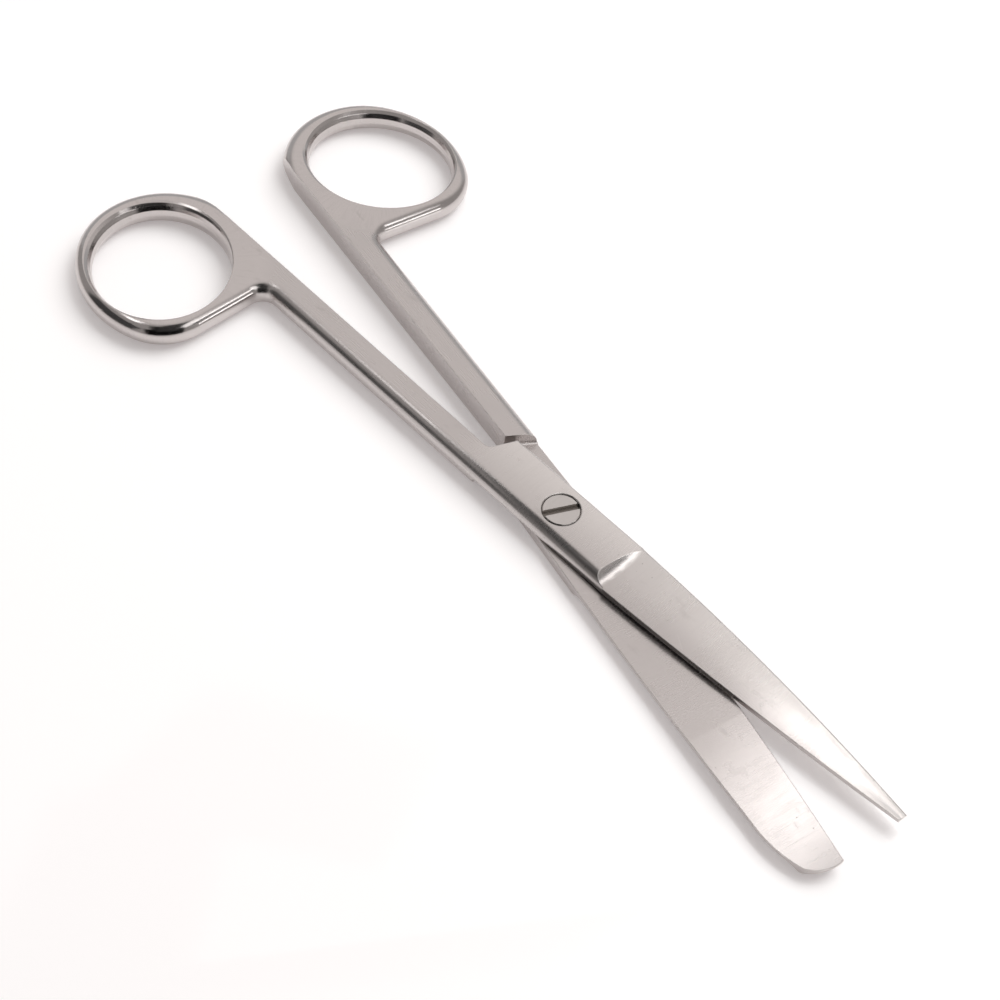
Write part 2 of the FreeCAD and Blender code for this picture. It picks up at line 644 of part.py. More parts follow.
def grind_blade(doc, body, layout, blade):
    """The crowned outer face of the blade, and the wheel's run-out at its root."""
    sections = [draw_section(body, layout, f"{blade}{number}") for number in range(len(BLADE_STEPS))]
    add_loft_cut(doc, body, f"{blade}_face", sections)
    climb = [draw_section(body, layout, f"{blade}root{number}") for number in range(len(ROOT_STEPS))]
    return add_loft_cut(doc, body, f"{blade}_root", climb)


def break_seam(doc, body, layout, blade):
    """A small bevel on the lap face's edge beside the joint, so that the seam shows as a thin groove."""
    sections = []
    for station in ("back", "front"):
        sketch = new_sketch(body, f"{blade}_seam_{station}", "YZ_Plane", f"Layout.seam_{station}_at")
        draw_outline(sketch, layout, [f"seam_{station}_in", f"seam_{station}_low", f"seam_{station}_out"])
        sections.append(sketch)
    return add_loft_cut(doc, body, f"{blade}_seam_break", sections, straight=True)


def bore_upper(doc, body, layout):
    """Counterbore for the screw's head and the bore that runs on its shank."""
    head = new_sketch(body, "head_seat", "XY_Plane")
    draw_circle(head, "Sizes.screw_head + 2 * Sizes.head_clearance")
    seat = add_pocket(doc, body, "counterbore", head, "Sizes.head_sunk + Sizes.head_height + Sizes.lap_gap",
                      upwards=True)
    rim = rim_edges(seat.Shape, 0, layout.get("seat_radius"))
    add_bevel(doc, body, "seat_bevel", rim, "Sizes.seat_bevel")
    bore = new_sketch(body, "shank_bore", "XY_Plane")
    draw_circle(bore, "Sizes.screw_shank + 2 * Sizes.running_clearance")
    return add_pocket(doc, body, "bore", bore, "Sizes.stock_height", upwards=True)


def bore_lower(doc, body):
    """The tapped hole that the screw's end is turned into."""
    bore = new_sketch(body, "tapped_hole", "XY_Plane")
    draw_circle(bore, "Sizes.screw_thread + 2 * Sizes.thread_clearance")
    return add_pocket(doc, body, "tapping", bore, "Sizes.stock_height", upwards=True)


def new_body(doc, name):
    """A body whose label is the name of its node."""
    body = doc.addObject("PartDesign::Body", name)
    body.Label = name
    return body


def make_half(doc, layout, name, blade):
    """One forged and ground half of the scissors, lying closed with its outer face down."""
    body = new_body(doc, name)
    forge_blank(doc, body, layout, blade)
    draw_blade(doc, body, layout, blade)
    grind_flats(doc, body, layout, blade)
    cut_lap(doc, body, layout, blade)
    set_blade(doc, body, layout, blade)
    pierce_ring(doc, body, layout, blade)
    grind_blade(doc, body, layout, blade)
    break_seam(doc, body, layout, blade)
    return body


def make_screw(doc, layout):
    """The slotted pivot screw: flush head, plain shank and the end that is turned into the lower half."""
    body = new_body(doc, "pivot_screw")
    parts = (("thread", "Sizes.screw_thread", None, "Layout.screw_lap"),
             ("shank", "Sizes.screw_shank", "Layout.screw_lap", "Layout.head_low - Layout.screw_lap"),
             ("head", "Sizes.screw_head", "Layout.head_low", "Sizes.head_height"))
    for name, across, foot, length in parts:
        sketch = new_sketch(body, f"screw_{name}", "XY_Plane", foot)
        draw_circle(sketch, across)
        turned = add_pad(doc, body, f"{name}_turned", sketch, length)
    rim = rim_edges(turned.Shape, layout.get("head_top"), layout.get("head_radius"))
    add_bevel(doc, body, "head_bevel", rim, "Sizes.head_bevel")
    slot = new_sketch(body, "screw_slot", "XY_Plane", "Layout.head_top")
    draw_outline(slot, layout, ["slot_a", "slot_b", "slot_c", "slot_d"])
    add_pocket(doc, body, "slot", slot, "Sizes.slot_depth")
    body.Placement = FreeCAD.Placement(V(0, 0, 0), FreeCAD.Rotation(V(0, 0, 1), START_TURN))
    body.setExpression("Placement.Rotation.Angle", "Sizes.slot_turn + Sizes.opening_angle / 2")
    return body


def lay_half(body, turned_over):
    """Swing a half by half of the opening, and turn it over first if it is the upper one."""
    if turned_over:
        body.Placement = FreeCAD.Placement(V(0, 0, 0), FreeCAD.Rotation(V(1, 0, 0), 180))
        body.setExpression("Placement.Rotation.Axis.x", "cos(Sizes.opening_angle / 4)")
        body.setExpression("Placement.Rotation.Axis.y", "sin(Sizes.opening_angle / 4)")
        body.setExpression("Placement.Base.z", "Sizes.stock_height")
    else:
        body.Placement = FreeCAD.Placement(V(0, 0, 0), FreeCAD.Rotation(V(0, 0, -1), START_TURN))
        body.setExpression("Placement.Rotation.Angle", "Sizes.opening_angle / 2")
    return body


def main():
    """Build the document, check it and write one STEP file for each sub-part."""
    doc = FreeCAD.newDocument("surgical_scissors")
    layout = build_sheets(doc)
    upper = make_half(doc, layout, "upper_half", "sharp")
    bore_upper(doc, upper, layout)
    lay_half(upper, turned_over=True)
    lower = make_half(doc, layout, "lower_half", "blunt")
    bore_lower(doc, lower)
    lay_half(lower, turned_over=False)
    screw = make_screw(doc, layout)
    doc.recompute()
    for item in doc.Objects:
        if "Invalid" in item.State or "Error" in item.State:
            raise RuntimeError(f"{item.Label} failed: {item.State}")
    os.makedirs("parts", exist_ok=True)
    for body in (upper, lower, screw):
        shape = body.Shape
        if shape.isNull() or not shape.isValid() or len(shape.Solids) != 1:
            raise RuntimeError(f"{body.Label} is not one sound solid")
        shape.exportStep(f"parts/{body.Label}.step")
        box = shape.optimalBoundingBox()
        print(f"{body.Label}: {shape.Volume:.2f} mm3, x {box.XMin:.2f} to {box.XMax:.2f}, "
              f"y {box.YMin:.2f} to {box.YMax:.2f}, z {box.ZMin:.2f} to {box.ZMax:.2f}")


main()
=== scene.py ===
"""Surgical scissors, sharp and blunt pattern: finishes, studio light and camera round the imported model.

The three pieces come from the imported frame. This script gives each its ground or polished steel and
lights it on a pale floor, seen from the photograph's angle. Lengths are in metres unless a name says mm.
"""

import json
import logging
import math
from dataclasses import dataclass, field
from enum import Enum
from typing import Any, Union

import bpy
from mathutils import Matrix, Vector

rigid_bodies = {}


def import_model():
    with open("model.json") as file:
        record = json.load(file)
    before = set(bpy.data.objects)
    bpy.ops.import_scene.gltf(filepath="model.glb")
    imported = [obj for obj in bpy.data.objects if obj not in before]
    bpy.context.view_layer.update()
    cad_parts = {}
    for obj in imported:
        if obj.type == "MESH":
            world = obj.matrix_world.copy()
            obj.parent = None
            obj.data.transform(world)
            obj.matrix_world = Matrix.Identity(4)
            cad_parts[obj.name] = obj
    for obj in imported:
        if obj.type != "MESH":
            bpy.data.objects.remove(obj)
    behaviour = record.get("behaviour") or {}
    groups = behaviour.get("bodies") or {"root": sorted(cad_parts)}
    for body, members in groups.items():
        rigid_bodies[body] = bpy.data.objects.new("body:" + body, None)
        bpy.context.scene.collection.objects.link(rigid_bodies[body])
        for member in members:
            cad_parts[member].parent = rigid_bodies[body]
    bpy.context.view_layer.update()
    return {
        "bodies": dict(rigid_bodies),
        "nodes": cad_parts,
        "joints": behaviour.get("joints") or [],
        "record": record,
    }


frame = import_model()

LOG = logging.getLogger("surgical_scissors")

# Millimetres in a metre
MM_PER_M = 1000.0
# Width in millimetres of the sensor that the camera's lens is worked out for
SENSOR_MM = 36.0
# Width of the photograph in pixels
PHOTO_PX = 1000.0
# Middle of a noise that runs from 0 to 1
MID_NOISE = 0.5
# Numbers of the Mix node's two colour inputs and of its colour output
MIX_COLOURS = (6, 7)
MIX_RESULT = 2

Operand = Union["Socket", float]
Span = tuple[float, float]
Triple = tuple[float, float, float]
Colour = Triple


class Grain(Enum):
    """How the wheel or belt last crossed a surface."""

    ACROSS = "across"
    ALONG = "along"


class Socket:
    """A shader socket that Python's own operators work on. Each operator adds one Math node."""

    def __init__(self, graph: "Graph", end: bpy.types.NodeSocket) -> None:
        """Wrap an output.

        Args:
            graph: the graph that new nodes are added to.
            end: the output socket.
        """
        self.graph = graph
        self.end = end

    def maths(self, operation: str, *others: Operand, swapped: bool = False) -> "Socket":
        """Add a Math node.

        Args:
            operation: the node's operation.
            others: what stands after this value.
            swapped: whether this value comes last.

        Returns:
            The result.
        """
        values: list[Operand] = [*others, self] if swapped else [self, *others]
        inputs = dict(enumerate(values))
        return self.graph.add("ShaderNodeMath", {"operation": operation}, inputs, "Value")

    def __add__(self, other: Operand) -> "Socket":
        """Sum."""
        return self.maths("ADD", other)

    def __radd__(self, other: float) -> "Socket":
        """Sum with a number first."""
        return self.maths("ADD", other, swapped=True)

    def __sub__(self, other: Operand) -> "Socket":
        """Difference."""
        return self.maths("SUBTRACT", other)

    def __rsub__(self, other: float) -> "Socket":
        """Difference with a number first."""
        return self.maths("SUBTRACT", other, swapped=True)

    def __mul__(self, other: Operand) -> "Socket":
        """Product."""
        return self.maths("MULTIPLY", other)

    def __rmul__(self, other: float) -> "Socket":
        """Product with a number first."""
        return self.maths("MULTIPLY", other, swapped=True)

    def __truediv__(self, other: Operand) -> "Socket":
        """Quotient."""
        return self.maths("DIVIDE", other)

    def step(self, low: float, high: float) -> "Socket":
        """A smooth step from 0 at low to 1 at high. It falls where low is above high.

        Args:
            low: the value that gives 0.
            high: the value that gives 1.

        Returns:
            The step, from 0 to 1.
        """
        settings = {"interpolation_type": "SMOOTHSTEP"}
        if low < high:
            return self.graph.add("ShaderNodeMapRange", settings,
                                  {"Value": self, "From Min": low, "From Max": high}, "Result")
        return 1.0 - self.step(high, low)


class Graph:
    """A node tree that is being built."""

    def __init__(self, tree: bpy.types.NodeTree) -> None:
        """Start on an emptied tree.

        Args:
            tree: the node tree of a material or of the world.
        """
        self.tree = tree
        tree.nodes.clear()

    def node(self, kind: str, settings: dict[str, Any], inputs: dict[Any, Any]) -> bpy.types.Node:
        """Add any node.

        Args:
            kind: the node's type.
            settings: its properties, which are set first.
            inputs: values or links, by the input's name or number.

        Returns:
            The new node.
        """
        node = self.tree.nodes.new(kind)
        for name, value in settings.items():
            setattr(node, name, value)
        for name, value in inputs.items():
            if isinstance(value, Socket):
                self.tree.links.new(value.end, node.inputs[name])
            elif isinstance(value, bpy.types.NodeSocket):
                self.tree.links.new(value, node.inputs[name])
            else:
                node.inputs[name].default_value = value
        return node

    def add(self, kind: str, settings: dict[str, Any], inputs: dict[Any, Any], output: Any) -> Socket:
        """Add any node and take one of its outputs.

        Args:
            kind: the node's type.
            settings: its properties.
            inputs: values or links, by the input's name or number.
            output: the name or number of the output.

        Returns:
            The output.
        """
        return Socket(self, self.node(kind, settings, inputs).outputs[output])

    def noise(self, place: Socket, scale: float, detail: float = 2.0) -> Socket:
        """Smooth noise from 0 to 1.

        Args:
            place: where it is read.
            scale: waves in each unit of the place.
            detail: how many finer layers it has.

        Returns:
            The noise.
        """
        return self.add("ShaderNodeTexNoise", {}, {"Vector": place, "Scale": scale, "Detail": detail}, "Fac")

    def stretched(self, place: Socket, factors: Triple) -> Socket:
        """A place whose three parts are multiplied.

        Args:
            place: the place.
            factors: one factor for each part.

        Returns:
            The new place.
        """
        return self.add("ShaderNodeVectorMath", {"operation": "MULTIPLY"}, {0: place, 1: factors}, "Vector")

    def blend(self, share: Operand, first: Any, second: Any) -> Socket:
        """A colour between two others.

        Args:
            share: 0 for the first, 1 for the second.
            first: a colour or socket.
            second: a colour or socket.

        Returns:
            The colour.
        """
        settings = {"data_type": "RGBA", "clamp_factor": True}
        node = self.node("ShaderNodeMix", settings, {"Factor": share})
        for number, value in zip(MIX_COLOURS, (first, second)):
            if isinstance(value, Socket):
                self.tree.links.new(value.end, node.inputs[number])
            else:
                node.inputs[number].default_value = (*value, 1.0)
        return Socket(self, node.outputs[MIX_RESULT])


@dataclass(frozen=True)
class MarkPatterns:
    """How finely each mark repeats, in waves for each millimetre, and the noise span where it sets in."""

    fine_across: Triple = (9.0, 0.35, 0.7)
    broad_across: Triple = (1.6, 0.12, 0.2)
    fine_along: Triple = (0.3, 9.0, 9.0)
    broad_along: Triple = (0.06, 1.5, 1.5)
    fine_share: float = 0.6
    broad_share: float = 0.4
    ring_waves_per_radian: float = 60.0
    ring_waves: float = 0.4
    scratch_turns_deg: Triple = (28.0, 74.0, 121.0)
    scratch_shift_mm: Span = (3.7, 11.3)
    scratch_waves: Triple = (7.0, 0.22, 0.5)
    scratch_span: Span = (0.80, 0.86)
    scratch_patch_waves: float = 0.11
    scratch_patch_span: Span = (0.52, 0.62)
    pit_cells: float = 1.1
    pit_span: Span = (0.12, 0.07)
    pit_patch_waves: float = 0.16
    pit_patch_span: Span = (0.60, 0.66)
    cloud_waves: float = 0.13
    stain_waves: Triple = (0.22, 0.5, 0.5)
    stain_span: Span = (0.60, 0.78)
    edge_samples: int = 6
    edge_span: Span = (0.995, 0.88)


@dataclass(frozen=True)
class MarkStrengths:
    """How strongly each mark changes the steel's tone, its roughness and its height."""

    stain_tone: float = 0.28
    pit_tone: float = 0.7
    grain_tone: float = 0.45
    # Edges lighten as wear and as a painted highlight line.
    edge_wear_and_highlight_tone: float = 0.8
    scratch_tone: float = 0.25
    cloud_rough: float = 0.16
    grain_rough: float = 0.12
    stain_rough: float = 0.07
    pit_rough: float = 0.2
    edge_rough: float = 0.10
    pit_height: float = 3.0


@dataclass(frozen=True)
class GroundSteel:
    """Satin stainless steel, ground across on the blades and belted along on the handles.

    Places in it are millimetres in the half's own frame: u runs towards the tip, v across and w up.
    """

    name: str
    turn_deg: float
    edge_side: float
    colour: Colour = (0.615, 0.578, 0.566)
    # Scratches lighten to this colour as wear; edges lighten to it as wear and as a painted highlight line.
    wear_and_highlight_colour: Colour = (0.92, 0.89, 0.86)
    stain_colour: Colour = (0.42, 0.395, 0.375)
    roughness: float = 0.27
    grain_depth: float = 1.2e-6
    scratch_depth: float = 4.0e-6
    edge_radius: float = 0.16e-3
    blade_from_mm: float = -13.0
    handle_to_mm: float = -18.0
    ring_mm: Span = (-70.3, 13.4)
    ring_reach_mm: Span = (13.5, 17.0)
    ring_polish: float = 0.10
    # Painted sheen on a blade: its share, how wide its fade runs across the blade, where it shifts towards
    # the tip and by how much, its dim and bright colours, and the blade's half width and taper in mm.
    painted_sheen: float = 0.0
    sheen_reach: float = 1.3
    tip_mm: Span = (28.0, 56.0)
    tip_shift: float = 0.5
    sheen_dim_colour: Colour = (0.56, 0.526, 0.515)
    sheen_bright_colour: Colour = (0.84, 0.805, 0.785)
    blade_half_width_mm: float = 5.5
    blade_taper: float = 0.083
    # Painted shade in recesses such as the screw's slot: the colour darkens to the shade colour from the
    # first height in mm down to the second.
    recess_shade_from_mm: float = 0.0
    recess_shade_to_mm: float = 0.0
    recess_shade_colour: Colour = (0.21, 0.19, 0.175)
    patterns: MarkPatterns = MarkPatterns()
    strengths: MarkStrengths = MarkStrengths()

    def local_place(self, graph: Graph) -> Socket:
        """Object coordinates, turned so that the half lies along u, in millimetres.

        Args:
            graph: the material's graph.

        Returns:
            The place.
        """
        place = graph.add("ShaderNodeTexCoord", {}, {}, "Object")
        turned = {"Vector": place, "Rotation": (0.0, 0.0, math.radians(self.turn_deg)),
                  "Scale": (MM_PER_M, MM_PER_M, MM_PER_M)}
        return graph.add("ShaderNodeMapping", {"vector_type": "POINT"}, turned, "Vector")

    def streaks(self, graph: Graph, place: Socket, grain: Grain) -> Socket:
        """Fine brushed lines, most a tenth of a millimetre apart.

        Args:
            graph: the material's graph.
            place: the place in millimetres.
            grain: which way the lines run.

        Returns:
            The height, from 0 to 1.
        """
        marks = self.patterns
        fine = marks.fine_across if grain is Grain.ACROSS else marks.fine_along
        broad = marks.broad_across if grain is Grain.ACROSS else marks.broad_along
        return (marks.fine_share * graph.noise(graph.stretched(place, fine), 1.0, 3.0)
                + marks.broad_share * graph.noise(graph.stretched(place, broad), 1.0, 2.0))

    def ring_streaks(self, graph: Graph, u: Socket, v: Socket, w: Socket) -> tuple[Socket, Socket]:
        """Short polishing lines that cross the finger ring, and where the ring is.

        Args:
            graph: the material's graph.
            u: the place along the half.
            v: the place across it.
            w: the place's height.

        Returns:
            The height from 0 to 1, and a mask that is 1 on the ring.
        """
        ring_u, ring_v = self.ring_mm
        along = u - ring_u
        across = v - self.edge_side * ring_v
        away = (along * along + across * across).maths("SQRT")
        turn = across.maths("ARCTAN2", along)
        round_ring = turn * self.patterns.ring_waves_per_radian
        outwards = away * self.patterns.ring_waves
        upwards = w * self.patterns.ring_waves
        polar = graph.add("ShaderNodeCombineXYZ", {}, {0: round_ring, 1: outwards, 2: upwards}, "Vector")
        ring_full, ring_end = self.ring_reach_mm
        return graph.noise(polar, 1.0, 3.0), away.step(ring_end, ring_full)

    def scratches(self, graph: Graph, place: Socket) -> Socket:
        """A few thin stray scratches in three directions.

        Args:
            graph: the material's graph.
            place: the place in millimetres.

        Returns:
            1 in a scratch and 0 elsewhere.
        """
        marks = self.patterns
        shift_u, shift_v = marks.scratch_shift_mm
        total: Operand = 0.0
        for number, turn in enumerate(marks.scratch_turns_deg):
            turned = graph.add("ShaderNodeMapping", {"vector_type": "POINT"},
                               {"Vector": place, "Rotation": (0.0, 0.0, math.radians(turn)),
                                "Location": (shift_u * number, shift_v * number, 0.0)}, "Vector")
            drawn_out = graph.stretched(turned, marks.scratch_waves)
            line = graph.noise(drawn_out, 1.0, 0.0).step(*marks.scratch_span)
            patch = graph.noise(turned, marks.scratch_patch_waves, 1.0).step(*marks.scratch_patch_span)
            total = line * patch + total
        return total

    def pits(self, graph: Graph, place: Socket) -> Socket:
        """Scattered small pits, most of them in patches.

        Args:
            graph: the material's graph.
            place: the place in millimetres.

        Returns:
            1 in a pit and 0 elsewhere.
        """
        marks = self.patterns
        dot = graph.add("ShaderNodeTexVoronoi", {}, {"Vector": place, "Scale": marks.pit_cells}, "Distance")
        patch = graph.noise(place, marks.pit_patch_waves, 1.0).step(*marks.pit_patch_span)
        return dot.step(*marks.pit_span) * patch

    def tone_with_painted_sheen(self, graph: Graph, u: Socket, v: Socket, blade: Socket) -> Any:
        """The steel's colour. On a blade whose sheen share is above 0 it carries a painted sheen, lighter
        towards the spine and towards the tip, standing in for the blade's reflections.

        Args:
            graph: the material's graph.
            u: the place along the half.
            v: the place across it.
            blade: 1 on the blade and 0 on the handle.

        Returns:
            The colour.
        """
        if self.painted_sheen == 0.0:
            return self.colour
        across = v * self.edge_side / (self.blade_half_width_mm - u * self.blade_taper)
        towards_edge = across - u.step(*self.tip_mm) * self.tip_shift
        bright = towards_edge.step(self.sheen_reach, -self.sheen_reach)
        # Painted sheen: the blade's colour lightens towards the spine and the tip.
        sheened = graph.blend(bright, self.sheen_dim_colour, self.sheen_bright_colour)
        return graph.blend(blade * self.painted_sheen, self.colour, sheened)

    def edge_wear_and_highlight(self, graph: Graph) -> tuple[Socket, bpy.types.NodeSocket]:
        """Where an edge is near, from how far a rounded normal leans from the true one. The edges are
        lightened with it as wear and as a painted highlight line.

        Args:
            graph: the material's graph.

        Returns:
            1 on an edge and 0 on open faces, and the rounded normal.
        """
        settings = {"samples": self.patterns.edge_samples}
        rounded = graph.node("ShaderNodeBevel", settings, {"Radius": self.edge_radius})
        true = graph.node("ShaderNodeNewGeometry", {}, {})
        lean = graph.add("ShaderNodeVectorMath", {"operation": "DOT_PRODUCT"},
                         {0: rounded.outputs["Normal"], 1: true.outputs["Normal"]}, "Value")
        return lean.step(*self.patterns.edge_span), rounded.outputs["Normal"]

    def material(self) -> bpy.types.Material:
        """Build the finish.

        Returns:
            The new material.
        """
        steel = bpy.data.materials.new(self.name)
        steel.use_nodes = True
        graph = Graph(steel.node_tree)
        place = self.local_place(graph)
        parts = graph.node("ShaderNodeSeparateXYZ", {}, {0: place})
        u, v, w = (Socket(graph, parts.outputs[number]) for number in range(3))
        blade = u.step(self.handle_to_mm, self.blade_from_mm)
        ring, on_ring = self.ring_streaks(graph, u, v, w)
        across = self.streaks(graph, place, Grain.ACROSS)
        along = self.streaks(graph, place, Grain.ALONG)
        handle = ring * on_ring + along * (1.0 - on_ring)
        grain = across * blade + handle * (1.0 - blade)
        cloud = graph.noise(place, self.patterns.cloud_waves, 3.0)
        drawn_out = graph.stretched(place, self.patterns.stain_waves)
        stain = graph.noise(drawn_out, 1.0, 3.0).step(*self.patterns.stain_span)
        scratch = self.scratches(graph, place)
        pit = self.pits(graph, place)
        edge, rounded = self.edge_wear_and_highlight(graph)
        # The base colour carries the painted sheen on the blade.
        base_tone = self.tone_with_painted_sheen(graph, u, v, blade)
        much = self.strengths
        darkened = stain * much.stain_tone + pit * much.pit_tone + (grain - MID_NOISE) * much.grain_tone
        tone = graph.blend(darkened, base_tone, self.stain_colour)
        # Scratches lighten as wear, and edges as wear and as a painted highlight line.
        worn_and_highlighted = graph.blend(edge * much.edge_wear_and_highlight_tone + scratch * much.scratch_tone, tone, self.wear_and_highlight_colour)
        # Painted shade: the colour darkens with depth below the top, so that a recess such as the screw's
        # slot looks shaded.
        recess_shade = w.step(self.recess_shade_from_mm, self.recess_shade_to_mm) if self.recess_shade_to_mm > 0.0 else 0.0
        colour = graph.blend(recess_shade, worn_and_highlighted, self.recess_shade_colour)
        roughness = (self.roughness + (cloud - MID_NOISE) * much.cloud_rough
                     + (grain - MID_NOISE) * much.grain_rough + stain * much.stain_rough
                     + pit * much.pit_rough + edge * much.edge_rough - on_ring * self.ring_polish)
        scratch_height = self.scratch_depth / self.grain_depth
        height = grain - scratch * scratch_height - pit * much.pit_height
        bump = graph.add("ShaderNodeBump", {}, {"Height": height, "Distance": self.grain_depth,
                                                "Normal": rounded}, "Normal")
        shader = graph.node("ShaderNodeBsdfPrincipled", {},
                            {"Base Color": colour, "Metallic": 1.0, "Roughness": roughness,
                             "Normal": bump})
        graph.node("ShaderNodeOutputMaterial", {}, {"Surface": shader.outputs["BSDF"]})
        return steel


@dataclass
class ScissorPiece:
    """One CAD node of the scissors and the finish that it wears."""

    node: str
    finish: GroundSteel

    def dress(self, frame: dict[str, Any]) -> None:
        """Put the finish into the node's material slots.
        """
        piece = frame["nodes"][self.node]
        steel = self.finish.material()
        if not piece.material_slots:
            piece.data.materials.append(steel)
        for holder in piece.material_slots:
            holder.material = steel
        LOG.info("%s wears %s", self.node, steel.name)


@dataclass
class BladePair:
    """The two forged halves, each ground along its own length."""

    opening_deg: float = 10.3

    def dress(self, frame: dict[str, Any]) -> None:
        """Finish both halves.
        """
        half_turn = self.opening_deg / 2
        # Only the upper half gets the painted sheen on its blade.
        upper_steel = GroundSteel("upper_half_steel", -half_turn, -1.0, painted_sheen=1.0)
        ScissorPiece("upper_half", upper_steel).dress(frame)
        ScissorPiece("lower_half", GroundSteel("lower_half_steel", half_turn, 1.0)).dress(frame)


@dataclass
class PivotScrew:
    """The slotted screw, ground flush together with the upper half."""

    turn_deg: float = -5.15

    def dress(self, frame: dict[str, Any]) -> None:
        """Finish the screw.
        """
        # The slot gets painted shade below the screw's top face.
        steel = GroundSteel("pivot_screw_steel", self.turn_deg, -1.0, colour=(0.63, 0.60, 0.585),
                            roughness=0.25, edge_radius=0.06e-3, recess_shade_from_mm=3.88, recess_shade_to_mm=3.25)
        ScissorPiece("pivot_screw", steel).dress(frame)


def direction(azimuth_deg: float, elevation_deg: float) -> Vector:
    """A direction from the scissors.

    Args:
        azimuth_deg: turn from +X towards +Y.
        elevation_deg: rise above the floor.

    Returns:
        A vector of length 1.
    """
    turn = math.radians(azimuth_deg)
    rise = math.radians(elevation_deg)
    return Vector((math.cos(rise) * math.cos(turn), math.cos(rise) * math.sin(turn), math.sin(rise)))


@dataclass
class Panel:
    """One flat panel of the studio, set by the direction in which the scissors see it."""

    name: str
    azimuth_deg: float
    elevation_deg: float
    distance: float
    size: Span
    target: Vector = field(default_factory=lambda: Vector((-0.008, -0.004, 0.0)))

    def matrix(self) -> Matrix:
        """Where the panel stands, with its face towards the scissors.

        Returns:
            The panel's matrix.
        """
        away = direction(self.azimuth_deg, self.elevation_deg)
        facing = away.to_track_quat("Z", "Y").to_matrix().to_4x4()
        return Matrix.Translation(self.target + away * self.distance) @ facing


@dataclass
class Softbox(Panel):
    """An area light. One that isn't cast only shows in the steel, and one that isn't mirrored never does."""

    brightness: float = 1.0
    mirrored: bool = True
    cast: bool = True

    def place(self) -> bpy.types.Object:
        """Add the light.

        Returns:
            The light's object.
        """
        light = bpy.data.lights.new(self.name, "AREA")
        light.shape = "RECTANGLE"
        light.size, light.size_y = self.size
        light.energy = self.brightness * math.pi * self.size[0] * self.size[1]
        lamp = bpy.data.objects.new(self.name, light)
        lamp.matrix_world = self.matrix()
        lamp.visible_glossy = self.mirrored
        lamp.visible_diffuse = self.cast
        bpy.context.scene.collection.objects.link(lamp)
        LOG.info("%s lights the scissors", self.name)
        return lamp


@dataclass
class Flag(Panel):
    """A plain card that only shows as a reflection in the steel."""

    shade: float = 0.01

    def place(self) -> bpy.types.Object:
        """Add the card.

        Returns:
            The card's object.
        """
        bpy.ops.object.select_all(action="DESELECT")
        bpy.ops.mesh.primitive_plane_add(size=1.0)
        card = bpy.context.object
        card.name = self.name
        card.data.transform(self.matrix() @ Matrix.Diagonal((*self.size, 1.0, 1.0)))
        card.visible_camera = False
        card.visible_diffuse = False
        card.visible_shadow = False
        card.visible_transmission = False
        cloth = bpy.data.materials.new(self.name)
        cloth.use_nodes = True
        graph = Graph(cloth.node_tree)
        glow = graph.node("ShaderNodeEmission", {}, {"Color": (self.shade, self.shade, self.shade, 1.0)})
        graph.node("ShaderNodeOutputMaterial", {}, {"Surface": glow.outputs["Emission"]})
        card.data.materials.append(cloth)
        return card


@dataclass
class Floor:
    """A plain white floor that keeps the shadow."""

    reach: float = 6.0
    albedo: float = 0.90
    lift: Colour = (0.23, 0.214, 0.214)
    roughness: float = 0.12
    specular_level: float = 0.4

    def place(self) -> bpy.types.Object:
        """Add the floor.

        Returns:
            The floor's object.
        """
        bpy.ops.object.select_all(action="DESELECT")
        bpy.ops.mesh.primitive_plane_add(size=self.reach)
        floor = bpy.context.object
        floor.name = "floor"
        paper = bpy.data.materials.new("white_floor")
        paper.use_nodes = True
        graph = Graph(paper.node_tree)
        light_path = graph.node("ShaderNodeLightPath", {}, {})
        seen = (Socket(graph, light_path.outputs["Is Camera Ray"])
                + Socket(graph, light_path.outputs["Is Glossy Ray"])
                + Socket(graph, light_path.outputs["Is Transmission Ray"]))
        white = (self.albedo, self.albedo, self.albedo, 1.0)
        lifted = graph.blend(seen, (0.0, 0.0, 0.0), self.lift)
        shader = graph.node("ShaderNodeBsdfPrincipled", {},
                            {"Base Color": white, "Roughness": self.roughness,
                             "Specular IOR Level": self.specular_level,
                             "Emission Color": lifted, "Emission Strength": 1.0})
        graph.node("ShaderNodeOutputMaterial", {}, {"Surface": shader.outputs["BSDF"]})
        floor.data.materials.append(paper)
        return floor


@dataclass
class PhotoCamera:
    """The camera at the photograph's angle."""

    target: Vector = field(default_factory=lambda: Vector((-0.00817, -0.00372, 0.0)))
    azimuth_deg: float = 46.33
    elevation_deg: float = 52.13
    roll_deg: float = 7.336
    distance: float = 0.2635
    focal_px: float = 1926.37
    clip_start: float = 0.01

    def place(self) -> bpy.types.Object:
        """Add the camera and make it the scene's own.

        Returns:
            The camera's object.
        """
        turn = math.radians(self.azimuth_deg)
        drop = math.radians(self.elevation_deg)
        roll = math.radians(self.roll_deg)
        forward = Vector((-math.sin(turn) * math.cos(drop), math.cos(turn) * math.cos(drop), -math.sin(drop)))
        level = Vector((math.cos(turn), math.sin(turn), 0.0))
        upright = level.cross(forward)
        right = math.cos(roll) * level + math.sin(roll) * upright
        up = math.cos(roll) * upright - math.sin(roll) * level
        lens = bpy.data.cameras.new("photo_camera")
        lens.sensor_width = SENSOR_MM
        lens.lens = SENSOR_MM * self.focal_px / PHOTO_PX
        lens.clip_start = self.clip_start
        camera = bpy.data.objects.new("photo_camera", lens)
        turned = Matrix((right, up, -forward)).transposed().to_4x4()
        camera.matrix_world = Matrix.Translation(self.target - forward * self.distance) @ turned
        bpy.context.scene.collection.objects.link(camera)
        bpy.context.scene.camera = camera
        return camera


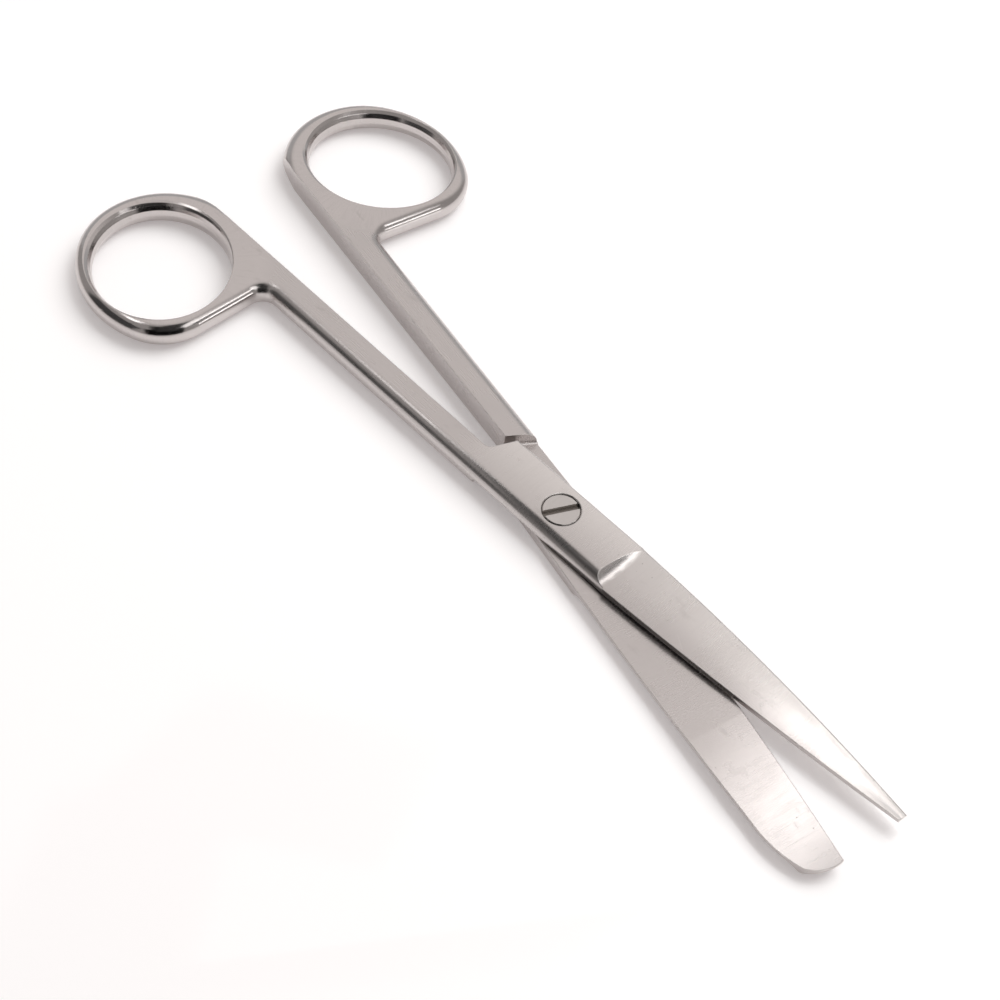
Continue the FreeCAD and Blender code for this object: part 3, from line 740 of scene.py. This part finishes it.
@dataclass
class LightDome:
    """A soft white tent over the scissors, open to a darker room on the camera's side."""

    base: float = 0.36
    glow: float = 0.44
    azimuth_deg: float = 125.0
    elevation_deg: float = 50.0
    inner_deg: float = 15.0
    outer_deg: float = 50.0
    colour: Colour = (1.0, 0.955, 0.935)

    def build(self) -> None:
        """Make the world."""
        world = bpy.data.worlds.new("studio_dome")
        world.use_nodes = True
        bpy.context.scene.world = world
        graph = Graph(world.node_tree)
        looked_at = graph.add("ShaderNodeTexCoord", {}, {}, "Generated")
        middle = direction(self.azimuth_deg, self.elevation_deg)
        nearness = graph.add("ShaderNodeVectorMath", {"operation": "DOT_PRODUCT"},
                             {0: looked_at, 1: middle}, "Value")
        inner = math.cos(math.radians(self.inner_deg))
        outer = math.cos(math.radians(self.outer_deg))
        strength = self.base + nearness.step(outer, inner) * self.glow
        sky = graph.node("ShaderNodeBackground", {}, {"Color": (*self.colour, 1.0), "Strength": strength})
        graph.node("ShaderNodeOutputWorld", {}, {"Surface": sky.outputs["Background"]})


@dataclass
class Studio:
    """The floor, the light and the cards that draw the steel's lines.

    The softboxes that aren't cast and the cards stand close to the place whose highlight or dark line
    they draw.
    """

    upper_ring: Vector = field(default_factory=lambda: Vector((-0.070, -0.025, 0.0)))
    lower_ring: Vector = field(default_factory=lambda: Vector((-0.070, 0.025, 0.0)))
    upper_shank: Vector = field(default_factory=lambda: Vector((-0.042, -0.016, 0.0)))
    upper_shoulder: Vector = field(default_factory=lambda: Vector((0.011, 0.0, 0.003)))
    upper_tip: Vector = field(default_factory=lambda: Vector((0.052, 0.004, 0.002)))

    def place_lights(self) -> None:
        """Add the softboxes."""
        Softbox("key_softbox", 92.0, 52.0, 0.9, (0.70, 0.70), brightness=3.6, mirrored=False).place()
        Softbox("shank_softbox", -152.0, 63.0, 0.75, (0.20, 0.10), brightness=2.2, cast=False).place()
        Softbox("blade_softbox", 15.0, 47.0, 0.205, (0.13, 0.10), target=self.upper_ring,
                brightness=1.1, cast=False).place()
        Softbox("corner_softbox", 38.0, 16.0, 0.12, (0.028, 0.024), target=self.upper_shoulder,
                brightness=3.0, cast=False).place()
        Softbox("tip_softbox", 115.0, 63.0, 0.10, (0.034, 0.034), target=self.upper_tip,
                brightness=1.7, cast=False).place()

    def place_cards(self) -> None:
        """Add the dark cards and the pale one behind the rings."""
        Flag("upper_mouth_card", -40.0, 55.0, 0.10, (0.032, 0.072), target=self.upper_ring, shade=0.0).place()
        Flag("upper_near_card", -28.0, 20.0, 0.10, (0.115, 0.10), target=self.upper_ring, shade=0.0).place()
        Flag("lower_mouth_card", -50.0, 45.0, 0.10, (0.045, 0.08), target=self.lower_ring, shade=0.03).place()
        Flag("shank_card", -116.0, 22.0, 0.10, (0.09, 0.06), target=self.upper_shank, shade=0.06).place()
        Flag("shoulder_card", 42.0, 56.0, 0.10, (0.035, 0.03), target=self.upper_shoulder, shade=0.10).place()
        Flag("back_card", 140.0, 12.0, 0.80, (1.6, 0.6), shade=0.50).place()

    def build(self) -> None:
        """Set the whole studio up."""
        LightDome().build()
        Floor().place()
        self.place_lights()
        self.place_cards()
        bpy.context.scene.view_settings.view_transform = "Standard"
        LOG.info("the studio stands")


def main() -> None:
    """Place the camera, dress the pieces and build the studio."""
    logging.basicConfig(level=logging.INFO, format="%(message)s")
    PhotoCamera().place()
    BladePair().dress(frame)
    PivotScrew().dress(frame)
    Studio().build()


if __name__ == "__main__":
    main()
